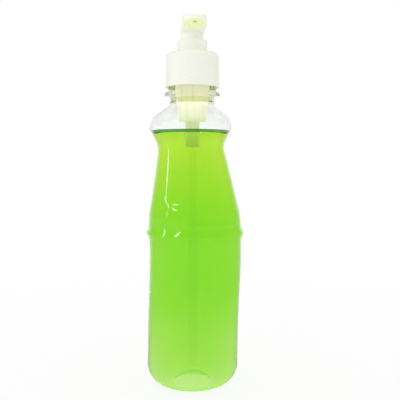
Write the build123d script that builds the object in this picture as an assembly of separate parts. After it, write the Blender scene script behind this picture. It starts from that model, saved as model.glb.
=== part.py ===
from build123d import *

import os
from math import acos, atan2, copysign, cos, hypot, sin, sqrt

# A clear blown soap bottle with a screw-on lotion pump, piece by piece, in millimetres.
# The bottle stands on Z = 0 with its axis on Z, and the nozzle points along -Y.

# Blown wall, from the table up
body_radius = 29.7
body_draft = 0.4  # how much the label wall narrows down to the heel
heel_radius = 13.0
standing_ring_width = 4.0
push_up = 6.0  # rise of the domed base
wall = 0.7
bead_height = 97.4  # of the bead's crest above the table
bead_proud = 1.6
bead_half_height = 4.6
flank_rise = 53.0  # from the bead's crest up to the waist
waist_radius = 21.4
shoulder_rise = 14.0  # from the waist up to the full part of the shoulder
shoulder_radius = 25.7
neck_rise = 14.3  # from the full part of the shoulder up to the straight neck
neck_radius = 14.1
neck_length = 4.2  # straight neck under the support ring

# Bends of that wall
bead_root_bend = 2.0
bead_crest_bend = 2.2
belly_bend = 52.0
waist_bend = 11.0
shoulder_bend = 9.0
neck_bend = 2.6

# Neck finish
support_ring_height = 2.4
support_ring_proud = 2.3
support_ring_chamfer = 0.7
lower_bead_proud = 2.4
lower_bead_height = 4.4
finish_wall = 1.75
finish_height = 20.3  # from the support ring up to the rim
finish_chamfer = 0.4

# Soap
fill_drop = 3.6  # of its level under the full part of the shoulder
film = 0.05  # between the soap and the bottle's wall
soap_clearance = 0.3  # round the pump, which moves in it

# Screw cap
cap_wall = 1.5
cap_top_wall = 1.8
cap_draft = 0.3
cap_edge_radius = 3.0
cap_foot_gap = 3.2  # from the support ring up to the cap's foot
cap_band_height = 2.2
cap_band_proud = 0.2
thread_room = 0.4

# Gasket and collar
gasket_thickness = 1.0
gasket_inset = 0.2
collar_height = 7.6
collar_lip = 1.2  # how far the collar stands out over its sleeve
collar_chamfer = 0.6
sleeve_wall = 1.2
sleeve_depth = 12.0  # under the housing's top
web_thickness = 2.0

# Housing
flange_thickness = 1.2
flange_width = 3.2
barrel_wall = 1.8
barrel_length = 28.0
neck_clearance = 0.7
sleeve_ledge = 1.0
chamber_wall = 1.3
chamber_depth = 26.6  # from the collar's sleeve down to the floor
floor_thickness = 1.6
socket_wall = 1.6
socket_length = 16.0
vent_radius = 0.7

# Inlet valve
ball_radius = 2.25
ball_room = 0.4
ball_lift = 1.5
ball_seat_gap = 0.05
passage_radius = 1.3
prong_count = 3
prong_span = 50.0
prong_wall = 0.9
hook_height = 1.0
hook_reach = 1.1

# Dip tube
tube_radius = 2.85
tube_wall = 0.75
tube_grip = 12.0  # length held in the socket
tube_floor_gap = 2.5
tube_cut = 30.0  # slant of its lower end

# Stem, plug and piston
stem_bore = 1.8
stem_wall = 1.4
shoulder_ring_proud = 1.1
shoulder_ring_height = 1.2
port_height = 1.8
port_width = 2.0
piston_height = 7.2
piston_play = 1.0
hub_wall = 1.3
lip_thickness = 0.9
lip_height = 1.8
lip_relief = 0.4
piston_web = 1.6
plug_flange = 1.5
plug_rib = 1.2
plug_boss = 5.0
plug_margin = 0.6
rib_turn = 45.0  # of the plug's ribs out of line with the ports

# Return spring
wire_radius = 0.45
spring_turns = 6.0
spring_room = 0.5
wire_flats = 6  # keep the coil light

# Pump head
skirt_radius = 7.0
skirt_wall = 1.3
skirt_in_collar = 9.7
skirt_shown = 5.2  # between the collar and the nozzle's root
pad_overhang = 0.3
pad_height = 8.0  # from the nozzle's root to the back edge of the pad
crown_height = 1.2  # of the crown over that edge
nozzle_reach = 22.0
tip_rise = 3.5  # of the nozzle's underside
tip_height = 1.9
head_edge_radius = 1.1
stem_grip = 9.0
channel_radius = 1.2
nozzle_floor = 0.9  # under that channel
outlet_radius = 1.5
outlet_setback = 4.4

# Clearances
seat_gap = 0.05
fit = 0.02
run = 0.1
pass_clearance = 0.3

# Radii from the stem outwards
stem_radius = stem_bore + stem_wall
collar_bore = skirt_radius + run
sleeve_radius = collar_bore + sleeve_wall
collar_radius = sleeve_radius + collar_lip
sleeve_bore = sleeve_radius + seat_gap
barrel_radius = sleeve_bore + barrel_wall
chamber_bore = sleeve_bore - sleeve_ledge
chamber_radius = chamber_bore + chamber_wall
flange_radius = barrel_radius + flange_width
neck_bore = barrel_radius + neck_clearance
finish_radius = neck_bore + finish_wall
lower_bead_radius = finish_radius + lower_bead_proud
support_ring_radius = lower_bead_radius + support_ring_proud
cap_bore = lower_bead_radius + thread_room
cap_radius = cap_bore + cap_wall
cap_hole = sleeve_radius + pass_clearance
tube_hole = tube_radius + fit
socket_radius = tube_hole + socket_wall
ball_chamber = ball_radius + ball_room
prong_radius = ball_chamber + prong_wall
spring_radius = prong_radius + spring_room + wire_radius
plug_radius = spring_radius + wire_radius + plug_margin

# Heights of the bottle
bead_top = bead_height + bead_half_height
bead_bottom = bead_height - bead_half_height
waist_height = bead_height + flank_rise
shoulder_height = waist_height + shoulder_rise
neck_height = shoulder_height + neck_rise
ring_bottom = neck_height + neck_length
ring_top = ring_bottom + support_ring_height
rim = ring_top + finish_height
fill_height = shoulder_height - fill_drop

# Heights of the pump's fixed pieces
gasket_bottom = rim + seat_gap
flange_bottom = gasket_bottom + gasket_thickness
flange_top = flange_bottom + flange_thickness
cap_ceiling = flange_top + seat_gap
cap_top = cap_ceiling + cap_top_wall
cap_foot = ring_top + cap_foot_gap
collar_foot = cap_top + seat_gap
collar_top = collar_foot + collar_height
sleeve_foot = flange_top - sleeve_depth
ledge = sleeve_foot - seat_gap
chamber_floor = ledge - chamber_depth
floor_bottom = chamber_floor - floor_thickness
socket_foot = floor_bottom - socket_length
tube_stop = socket_foot + tube_grip
tube_top = tube_stop - seat_gap
tube_foot = push_up + wall + tube_floor_gap

# Heights of the pump's moving pieces
stem_shoulder_top = sleeve_foot - seat_gap
stem_shoulder = stem_shoulder_top - shoulder_ring_height
piston_top = stem_shoulder - piston_play
piston_foot = piston_top - piston_height
plug_top = piston_foot - seat_gap
plug_foot = plug_top - plug_flange
seat_height = floor_bottom - passage_radius
ball_touch = ball_radius / sqrt(2)
ball_height = seat_height + 2 * ball_touch - passage_radius + ball_seat_gap
hook_radius = ball_chamber - hook_reach
hook_lip = ball_height + ball_lift + ball_seat_gap + sqrt(ball_radius**2 - hook_radius**2)
nozzle_root = collar_top + skirt_shown
skirt_foot = collar_top - skirt_in_collar
pad_edge = nozzle_root + pad_height
stem_top = nozzle_root + seat_gap
tip_bottom = nozzle_root + tip_rise


from_base = (Align.CENTER, Align.CENTER, Align.MIN)


def turned(curves):
    """Solid turned about Z from a closed outline of radius and height, with its like arcs joined."""
    return revolve(Plane.XZ * make_face(curves).clean(), Axis.Z)


def turned_points(*points):
    """Solid turned about Z from the corners of its outline."""
    return turned(Polyline(*points, close=True).edges())


def bend(lower, upper, lower_bend, upper_bend, inset):
    """Arc, straight and arc between two upright points of a wall, moved inwards by inset."""
    step = upper[0] - lower[0]
    rise = upper[1] - lower[1]
    outwards = copysign(1, step)
    room = (step**2 + rise**2) / (2 * abs(step))
    total = min(lower_bend + upper_bend, room)
    share = total / (lower_bend + upper_bend)
    low = lower_bend * share + outwards * inset
    high = upper_bend * share - outwards * inset
    reach = total - abs(step)
    turn = atan2(rise, reach) - acos(min(1, total / hypot(reach, rise)))
    start = (lower[0] - inset, lower[1])
    end = (upper[0] - inset, upper[1])
    first = (start[0] + outwards * low * (1 - cos(turn)), start[1] + low * sin(turn))
    last = (end[0] - outwards * high * (1 - cos(turn)), end[1] - high * sin(turn))
    curves = [TangentArc(start, first, tangent=(0, 1)), TangentArc(end, last, tangent=(0, -1))]
    if hypot(last[0] - first[0], last[1] - first[1]) > fit:
        curves.insert(1, Line(first, last))
    return curves


def base_curves(inset):
    """Domed base, standing ring and heel, moved inwards by inset."""
    ring_outer = body_radius - body_draft - heel_radius
    ring_inner = ring_outer - standing_ring_width
    heel_top = (ring_outer + heel_radius - inset, heel_radius)
    dome = TangentArc((0, push_up + inset), (ring_inner, inset), tangent=(1, 0))
    ring = Line((ring_inner, inset), (ring_outer, inset))
    heel = TangentArc((ring_outer, inset), heel_top, tangent=(1, 0))
    label_wall = Line(heel_top, (body_radius - inset, bead_bottom))
    return [dome, ring, heel, label_wall]


def wall_curves(inset):
    """Outline of the blown wall from the axis up to the straight neck, moved inwards by inset."""
    below_bead = (body_radius, bead_bottom)
    crest = (body_radius + bead_proud, bead_height)
    belly = (body_radius, bead_top)
    waist = (waist_radius, waist_height)
    shoulder = (shoulder_radius, shoulder_height)
    neck = (neck_radius, neck_height)
    curves = base_curves(inset)
    curves += bend(below_bead, crest, bead_root_bend, bead_crest_bend, inset)
    curves += bend(crest, belly, bead_crest_bend, bead_root_bend, inset)
    curves += bend(belly, waist, belly_bend, waist_bend, inset)
    curves += bend(waist, shoulder, waist_bend, shoulder_bend, inset)
    curves += bend(shoulder, neck, shoulder_bend, neck_bend, inset)
    return curves


def neck_curves():
    """Outside of the neck, from the shoulder to the rim, with its support ring."""
    ring_flat = support_ring_radius - support_ring_chamfer
    lower_bead_top = ring_top + lower_bead_height
    outline = Polyline(
        (neck_radius, neck_height),
        (neck_radius, ring_bottom),
        (ring_flat, ring_bottom),
        (support_ring_radius, ring_bottom + support_ring_chamfer),
        (support_ring_radius, ring_top - support_ring_chamfer),
        (ring_flat, ring_top),
        (lower_bead_radius, ring_top),
        (lower_bead_radius, lower_bead_top - finish_chamfer),
        (lower_bead_radius - finish_chamfer, lower_bead_top),
        (finish_radius, lower_bead_top),
        (finish_radius, rim - finish_chamfer),
        (finish_radius - finish_chamfer, rim),
        (neck_bore, rim),
    )
    return outline.edges()


def bottle():
    """The blown bottle, turned from the section of its wall."""
    throat = Polyline((neck_bore, rim), (neck_bore, ring_bottom), (neck_radius - wall, neck_height))
    axis = Line((0, push_up), (0, push_up + wall))
    section = wall_curves(0) + neck_curves() + throat.edges() + wall_curves(wall) + [axis]
    return turned(section)


def pump_room(clearance):
    """What the hanging part of the pump takes up in the soap, with a clearance all round."""
    chamber = turned_points(
        (0, floor_bottom - clearance),
        (chamber_radius + clearance, floor_bottom - clearance),
        (chamber_radius + clearance, rim),
        (0, rim),
    )
    socket = turned_points(
        (0, socket_foot - clearance),
        (socket_radius + clearance, socket_foot - clearance),
        (socket_radius + clearance, rim),
        (0, rim),
    )
    tube = turned_points(
        (0, tube_foot - clearance),
        (tube_radius + clearance, tube_foot - clearance),
        (tube_radius + clearance, rim),
        (0, rim),
    )
    return chamber + socket + tube


def liquid_soap():
    """Soap up to its level, with the column that stands in the dip tube."""
    inset = wall + film
    throat = Polyline(
        (neck_radius - inset, neck_height),
        (neck_bore - film, ring_bottom),
        (neck_bore - film, rim),
        (0, rim),
        (0, push_up + inset),
    )
    inside = turned(wall_curves(inset) + throat.edges())
    reach = body_radius + bead_proud + wall
    below_level = turned_points((0, 0), (reach, 0), (reach, fill_height), (0, fill_height))
    column_radius = tube_radius - tube_wall - soap_clearance
    column = turned_points(
        (0, tube_foot - tube_floor_gap / 2),
        (column_radius, tube_foot - tube_floor_gap / 2),
        (column_radius, min(fill_height, tube_top)),
        (0, min(fill_height, tube_top)),
    )
    return (inside & below_level) - pump_room(soap_clearance) + column


def screw_cap():
    """Plain tall cap with a rounded top edge and a band at its foot."""
    top_radius = cap_radius - cap_draft
    band_radius = cap_radius + cap_band_proud
    side = Polyline(
        (cap_hole, cap_top),
        (cap_hole, cap_ceiling),
        (cap_bore, cap_ceiling),
        (cap_bore, cap_foot),
        (band_radius, cap_foot),
        (band_radius, cap_foot + cap_band_height),
        (cap_radius, cap_foot + cap_band_height + cap_band_proud),
        (top_radius, cap_top - cap_edge_radius),
    )
    shoulder_end = (top_radius - cap_edge_radius, cap_top)
    edge = TangentArc((top_radius, cap_top - cap_edge_radius), shoulder_end, tangent=(0, 1))
    return turned([*side.edges(), edge, Line(shoulder_end, (cap_hole, cap_top))])


def pump_collar():
    """Ring on the cap, with a sleeve in the housing and a web that guides the stem."""
    guide = stem_radius + run
    return turned_points(
        (collar_bore, collar_top),
        (collar_radius - collar_chamfer, collar_top),
        (collar_radius, collar_top - collar_chamfer),
        (collar_radius, collar_foot),
        (sleeve_radius, collar_foot),
        (sleeve_radius, sleeve_foot),
        (guide, sleeve_foot),
        (guide, sleeve_foot + web_thickness),
        (collar_bore, sleeve_foot + web_thickness),
    )


def neck_gasket():
    """Flat washer between the housing's flange and the rim."""
    inner = barrel_radius + gasket_inset
    outer = flange_radius - gasket_inset
    return turned_points(
        (inner, gasket_bottom),
        (outer, gasket_bottom),
        (outer, flange_bottom - seat_gap),
        (inner, flange_bottom - seat_gap),
    )


def ball_prong():
    """One hooked prong of the cage that keeps the ball over its seat."""
    outline = Polyline(
        (ball_chamber, chamber_floor - floor_thickness / 2),
        (prong_radius, chamber_floor - floor_thickness / 2),
        (prong_radius, hook_lip + hook_height / 2),
        (hook_radius, hook_lip + hook_height / 2),
        (hook_radius, hook_lip),
        (ball_chamber, hook_lip - hook_height / 2),
        close=True,
    )
    return revolve(Plane.XZ * make_face(outline.edges()), Axis.Z, revolution_arc=prong_span)


def pump_housing():
    """Flanged pump chamber with its valve seat, ball cage, air vent and tube socket."""
    barrel_foot = flange_bottom - barrel_length
    body = turned_points(
        (sleeve_bore, flange_top),
        (flange_radius, flange_top),
        (flange_radius, flange_bottom),
        (barrel_radius, flange_bottom),
        (barrel_radius, barrel_foot),
        (chamber_radius, barrel_foot - (barrel_radius - chamber_radius)),
        (chamber_radius, floor_bottom),
        (socket_radius, floor_bottom),
        (socket_radius, socket_foot),
        (tube_hole, socket_foot),
        (tube_hole, tube_stop),
        (passage_radius, tube_stop),
        (passage_radius, seat_height),
        (ball_chamber, seat_height + ball_chamber - passage_radius),
        (ball_chamber, chamber_floor),
        (chamber_bore, chamber_floor),
        (chamber_bore, ledge),
        (sleeve_bore, ledge),
    )
    for turn in range(prong_count):
        body += Rot(Z=turn * 360 / prong_count) * ball_prong()
    vent_height = sleeve_foot - shoulder_ring_height
    vent = Pos(0, 0, vent_height) * Rot(Y=90) * Cylinder(vent_radius, flange_radius, align=from_base)
    return body - vent


def dip_tube():
    """Straight tube with a slanted lower end."""
    tube = turned_points(
        (tube_radius - tube_wall, tube_foot),
        (tube_radius, tube_foot),
        (tube_radius, tube_top),
        (tube_radius - tube_wall, tube_top),
    )
    cut = Plane(Location((tube_radius, 0, tube_foot), (0, tube_cut, 0)))
    return split(tube, cut, keep=Keep.TOP)


def check_ball():
    """Ball of the inlet valve, just off its seat."""
    return Pos(0, 0, ball_height) * Sphere(ball_radius)


def stem():
    """Hollow rod with a stop ring over the piston and ports over the plug."""
    ring_radius = stem_radius + shoulder_ring_proud
    rod = turned_points(
        (stem_bore, plug_top + seat_gap),
        (stem_radius, plug_top + seat_gap),
        (stem_radius, stem_shoulder),
        (ring_radius, stem_shoulder),
        (ring_radius, stem_shoulder_top),
        (stem_radius, stem_shoulder_top),
        (stem_radius, stem_top),
        (stem_bore, stem_top),
    )
    port_middle = plug_top + port_height / 2
    port = Pos(0, 0, port_middle) * Box(2 * ring_radius, port_width, port_height)
    return rod - port


def stem_plug():
    """Foot of the stem: seat for the piston, rest for the spring and ribbed boss in the bore."""
    seat = Pos(0, 0, plug_foot) * Cylinder(plug_radius, plug_flange, align=from_base)
    boss_middle = plug_top + plug_boss / 2
    ribs = Pos(0, 0, boss_middle) * Box(2 * stem_bore, plug_rib, plug_boss)
    ribs += Pos(0, 0, boss_middle) * Box(plug_rib, 2 * stem_bore, plug_boss)
    bore = Pos(0, 0, boss_middle) * Cylinder(stem_bore - fit, plug_boss)
    boss = Rot(Z=rib_turn) * (ribs & bore)
    return seat + boss


def piston():
    """Piston with two wiping lips, a hub that slides on the stem and a web between them."""
    hub_bore = stem_radius + run
    hub_radius = hub_bore + hub_wall
    lip_radius = chamber_bore - run
    lip_inner = lip_radius - lip_thickness
    web_low = piston_foot + (piston_height - piston_web) / 2
    web_high = web_low + piston_web
    return turned_points(
        (hub_bore, piston_foot),
        (hub_radius, piston_foot),
        (hub_radius, web_low),
        (lip_inner - lip_relief, web_low),
        (lip_inner, piston_foot),
        (lip_radius, piston_foot),
        (lip_radius - lip_relief, piston_foot + lip_height),
        (lip_radius - lip_relief, piston_top - lip_height),
        (lip_radius, piston_top),
        (lip_inner, piston_top),
        (lip_inner - lip_relief, web_high),
        (hub_radius, web_high),
        (hub_radius, piston_top),
        (hub_bore, piston_top),
    )


def return_spring():
    """Coil between the chamber's floor and the plug, with both ends ground flat."""
    low = chamber_floor + seat_gap
    high = plug_foot - seat_gap
    pitch = (high - low) / spring_turns
    path = Pos(0, 0, low) * Helix(pitch, high - low, spring_radius)
    section = Plane(path @ 0, z_dir=path % 0) * RegularPolygon(wire_radius, wire_flats)
    coil = sweep(section, path=path, is_frenet=True)
    outer = spring_radius + 2 * wire_radius
    return coil & turned_points((0, low), (outer, low), (outer, high), (0, high))


def head_form():
    """Outside of the pad and nozzle: the plan from above where it meets the side view."""
    pad_radius = skirt_radius + pad_overhang
    tip_centre = nozzle_reach - pad_radius
    slot = SlotCenterToCenter(tip_centre, 2 * pad_radius, rotation=90)
    plan = Pos(0, -tip_centre / 2) * slot
    front = -nozzle_reach
    crown = ((front + pad_radius) / 2 + pad_radius / 2, pad_edge + crown_height)
    underside = Polyline(
        (front, tip_bottom + tip_height),
        (front, tip_bottom),
        (-skirt_radius, nozzle_root),
        (pad_radius, nozzle_root),
        (pad_radius, pad_edge),
    )
    top = ThreePointArc((pad_radius, pad_edge), crown, (front, tip_bottom + tip_height))
    side = Plane.YZ * make_face([*underside.edges(), top])
    tall = pad_height + crown_height + tip_height
    block = Pos(0, 0, nozzle_root) * extrude(plan, tall)
    form = block & extrude(side, pad_radius, both=True)
    over = form.faces().sort_by(Axis.Z).last
    return fillet(over.edges(), head_edge_radius)


def pump_head():
    """Push head: pad and nozzle, skirt, stem socket and the way out for the soap."""
    socket_bore = stem_radius + run
    socket_outer = socket_bore + skirt_wall
    skirt_bore = skirt_radius - skirt_wall
    skirt = turned_points(
        (skirt_bore, skirt_foot),
        (skirt_radius, skirt_foot),
        (skirt_radius, nozzle_root),
        (skirt_bore, nozzle_root),
    )
    socket = turned_points(
        (socket_bore, stem_top - stem_grip),
        (socket_outer, stem_top - stem_grip),
        (socket_outer, nozzle_root),
        (socket_bore, nozzle_root),
    )
    outlet_reach = nozzle_reach - outlet_setback
    slope = tip_rise / (nozzle_reach - skirt_radius)
    outlet_foot = nozzle_root + slope * (outlet_reach - skirt_radius)
    channel = outlet_foot + nozzle_floor + channel_radius
    riser = Pos(0, 0, nozzle_root) * Cylinder(stem_bore, channel - nozzle_root, align=from_base)
    stem_room = Pos(0, 0, stem_top) * Cylinder(socket_bore, 2 * seat_gap)
    run_out = Pos(0, 0, channel) * Rot(X=90) * Cylinder(channel_radius, outlet_reach, align=from_base)
    outlet = Pos(0, -outlet_reach, nozzle_root) * Cylinder(
        outlet_radius, channel - nozzle_root, align=from_base
    )
    return head_form() + skirt + socket - riser - stem_room - run_out - outlet


pieces = [
    bottle,
    liquid_soap,
    screw_cap,
    pump_collar,
    neck_gasket,
    pump_housing,
    dip_tube,
    check_ball,
    stem,
    stem_plug,
    piston,
    return_spring,
    pump_head,
]

os.makedirs("parts", exist_ok=True)
for piece in pieces:
    export_step(piece(), f"parts/{piece.__name__}.step")
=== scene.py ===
"""Clear blown soap bottle with its lotion pump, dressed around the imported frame."""

import logging
import math
from collections.abc import Callable, Sequence
from dataclasses import dataclass
from enum import Enum
from functools import cache

import bmesh
import bpy
import numpy as np
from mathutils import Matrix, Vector

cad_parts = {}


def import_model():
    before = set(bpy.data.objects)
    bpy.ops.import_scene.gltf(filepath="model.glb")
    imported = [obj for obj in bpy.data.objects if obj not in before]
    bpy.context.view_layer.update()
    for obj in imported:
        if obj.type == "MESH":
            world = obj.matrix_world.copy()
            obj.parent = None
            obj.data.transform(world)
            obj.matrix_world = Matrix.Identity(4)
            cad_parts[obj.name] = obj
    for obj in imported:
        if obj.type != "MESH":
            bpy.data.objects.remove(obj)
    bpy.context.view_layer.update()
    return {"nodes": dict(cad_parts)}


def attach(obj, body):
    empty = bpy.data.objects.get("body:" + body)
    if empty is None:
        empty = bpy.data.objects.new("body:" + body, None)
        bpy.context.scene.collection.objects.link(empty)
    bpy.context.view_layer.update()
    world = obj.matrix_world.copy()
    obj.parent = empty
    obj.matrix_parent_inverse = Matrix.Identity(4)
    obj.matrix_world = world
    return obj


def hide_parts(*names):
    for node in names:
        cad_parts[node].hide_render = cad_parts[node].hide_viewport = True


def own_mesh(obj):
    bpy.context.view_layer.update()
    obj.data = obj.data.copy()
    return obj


log = logging.getLogger("soap_bottle")

MM = 0.001
VIEW_TURN = math.radians(-6.0)
TO_VIEWER = np.array([math.sin(VIEW_TURN), -math.cos(VIEW_TURN)])
TO_RIGHT = np.array([math.cos(VIEW_TURN), math.sin(VIEW_TURN)])

Point = tuple[float, float]
Place = tuple[float, float, float]
Colour = tuple[float, float, float]
Face = bpy.types.MeshPolygon
Material = bpy.types.Material
Mesh = bpy.types.Mesh
Node = bpy.types.Node
Piece = bpy.types.Object
Socket = bpy.types.NodeSocket
Tree = bpy.types.NodeTree
Paint = Colour | Socket

RISING: Point = (0.0, 1.0)
FALLING: Point = (1.0, 0.0)
BLACK: Colour = (0.0, 0.0, 0.0)
WHITE: Colour = (1.0, 1.0, 1.0)


class Slot(Enum):
    """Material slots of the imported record."""

    PET = "clear_pet"
    SOAP = "green_soap"
    WHITE = "white_pp"
    FOAM = "gasket_foam"
    NATURAL = "natural_pp"
    SOFT = "natural_pe"
    BALL = "glass_ball"
    STEEL = "spring_steel"


class Body(Enum):
    """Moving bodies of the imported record."""

    BOTTLE = "bottle"
    PUMP = "pump"
    CAP = "cap"
    STEM = "stem"
    PISTON = "piston"
    HEAD = "head"
    BALL = "ball"


# Node graphs

NUMBER = "NodeSocketFloat"
COUNT = "NodeSocketInt"
SHAPE = "NodeSocketGeometry"
FINISH = "NodeSocketMaterial"
MEASURES = ("LENGTH", "DISTANCE", "DOT_PRODUCT")
NOISE_REACH: Point = (0.3, 0.7)


class Graph:
    """Short calls that fill one node tree."""

    def __init__(self, tree: Tree) -> None:
        """Keep the tree that the calls fill."""
        self.tree = tree

    def feed(self, socket: Socket, value: object) -> None:
        """Link an output to an input, or set the input to a plain value.

        Args:
            socket: The input.
            value: An output, a number, a vector or a colour of three parts.
        """
        if isinstance(value, Socket):
            self.tree.links.new(value, socket)
        else:
            socket.default_value = (*value, 1.0) if socket.type == "RGBA" else value

    def add(self, kind: str, inputs: dict[str, object] | None = None, **settings: object) -> Node:
        """Add a node, set its properties and feed its inputs.

        Args:
            kind: Blender's name for the node's type.
            inputs: Outputs or plain values by input name.
            settings: Properties of the node.

        Returns:
            The new node.
        """
        node = self.tree.nodes.new(kind)
        for key, value in settings.items():
            setattr(node, key, value)
        for name, value in (inputs or {}).items():
            self.feed(node.inputs[name], value)
        return node

    def ordered(self, kind: str, *values: object, **settings: object) -> Node:
        """Add a node and feed its inputs in order.

        Args:
            kind: Blender's name for the node's type.
            values: Outputs or plain values, as the inputs follow each other.
            settings: Properties of the node.

        Returns:
            The new node.
        """
        node = self.add(kind, **settings)
        for socket, value in zip(node.inputs, values):
            self.feed(socket, value)
        return node

    def math(self, operation: str, *values: object) -> Socket:
        """Add a math node and give its result."""
        return self.ordered("ShaderNodeMath", *values, operation=operation).outputs[0]

    def vector(self, operation: str, *values: object) -> Socket:
        """Add a vector math node and give its result, a number where the operation measures."""
        node = self.ordered("ShaderNodeVectorMath", *values, operation=operation)
        return node.outputs["Value" if operation in MEASURES else "Vector"]

    def place(self) -> Socket:
        """Give the place on the piece in metres, in Object coordinates."""
        return self.add("ShaderNodeTexCoord").outputs["Object"]

    def noise(self, place: Socket, scale: object, detail: float) -> Socket:
        """Add a noise texture and give its value."""
        inputs = {"Vector": place, "Scale": scale, "Detail": detail}
        return self.add("ShaderNodeTexNoise", inputs).outputs[0]

    def span(
        self, value: Socket, reach: Point, ends: Sequence[object] = RISING, smooth: bool = False
    ) -> Socket:
        """Map a value from one range to another.

        Args:
            value: The value to map.
            reach: Ends of the range that is read.
            ends: Numbers or outputs to give at those ends.
            smooth: Ease both ends.

        Returns:
            The mapped value.
        """
        limits = dict(zip(("From Min", "From Max", "To Min", "To Max"), (*reach, *ends)))
        easing = "SMOOTHSTEP" if smooth else "LINEAR"
        node = self.add("ShaderNodeMapRange", {"Value": value, **limits}, interpolation_type=easing)
        return node.outputs["Result"]

    def mix(self, share: Socket, first: Paint, second: Paint) -> Socket:
        """Mix two colours.

        Args:
            share: Share of the second colour, from 0 to 1.
            first: The first colour or its output.
            second: The second one.

        Returns:
            The mixed colour.
        """
        node = self.add("ShaderNodeMix", {"Factor": share}, data_type="RGBA")
        sockets = [socket for socket in node.inputs if socket.type == "RGBA"]
        for socket, paint in zip(sockets, (first, second)):
            self.feed(socket, paint)
        return next(socket for socket in node.outputs if socket.type == "RGBA")


def open_group(name: str, kind: str, inputs: dict[str, str], outputs: dict[str, str]) -> Graph:
    """Start a node group with its named sockets.

    Args:
        name: Name of the group.
        kind: Blender's type of node tree.
        inputs: Socket types by input name.
        outputs: Socket types by output name.

    Returns:
        The graph of the new group.
    """
    tree = bpy.data.node_groups.new(name, kind)
    for way, sockets in (("INPUT", inputs), ("OUTPUT", outputs)):
        for socket, socket_type in sockets.items():
            tree.interface.new_socket(socket, in_out=way, socket_type=socket_type)
    return Graph(tree)


@cache
def skin_group() -> Tree:
    """Uneven skin of a moulded piece: a broad and a fine mask on Object coordinates.

    Returns:
        The group, which is built once.
    """
    sizes = {"Broad Scale": NUMBER, "Fine Scale": NUMBER}
    graph = open_group("uneven_skin", "ShaderNodeTree", sizes, {"Broad": NUMBER, "Fine": NUMBER})
    given, place = graph.add("NodeGroupInput").outputs, graph.place()
    broad = graph.noise(place, given["Broad Scale"], detail=2.0)
    fine = graph.noise(place, given["Fine Scale"], detail=4.0)
    masks = {"Broad": graph.span(broad, NOISE_REACH, smooth=True), "Fine": graph.span(fine, NOISE_REACH)}
    graph.add("NodeGroupOutput", masks)
    return graph.tree


@cache
def drawn_group() -> Tree:
    """Flow lines of a stretched or drawn skin: a height that runs along the piece's axis.

    Returns:
        The group, which is built once.
    """
    sizes = {"Across": NUMBER, "Along": NUMBER}
    graph = open_group("drawn_lines", "ShaderNodeTree", sizes, {"Height": NUMBER})
    given = graph.add("NodeGroupInput").outputs
    scales = {"X": given["Across"], "Y": given["Across"], "Z": given["Along"]}
    stretch = graph.add("ShaderNodeCombineXYZ", scales).outputs[0]
    stretched = graph.vector("MULTIPLY", graph.place(), stretch)
    graph.add("NodeGroupOutput", {"Height": graph.noise(stretched, 1.0, detail=3.0)})
    return graph.tree


# Finishes

CLEAR: Colour = (0.985, 0.99, 0.98)
DRAW_LINES: Point = (210.0, 26.0)
FINE_LINES: Point = (620.0, 24.0)
BLOWN_SCALES: Point = (38.0, 160.0)
LINE_SHARE = 0.5
WAVE_STRENGTH = 0.22
WAVE_DEPTH = 0.6 * MM


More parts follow.
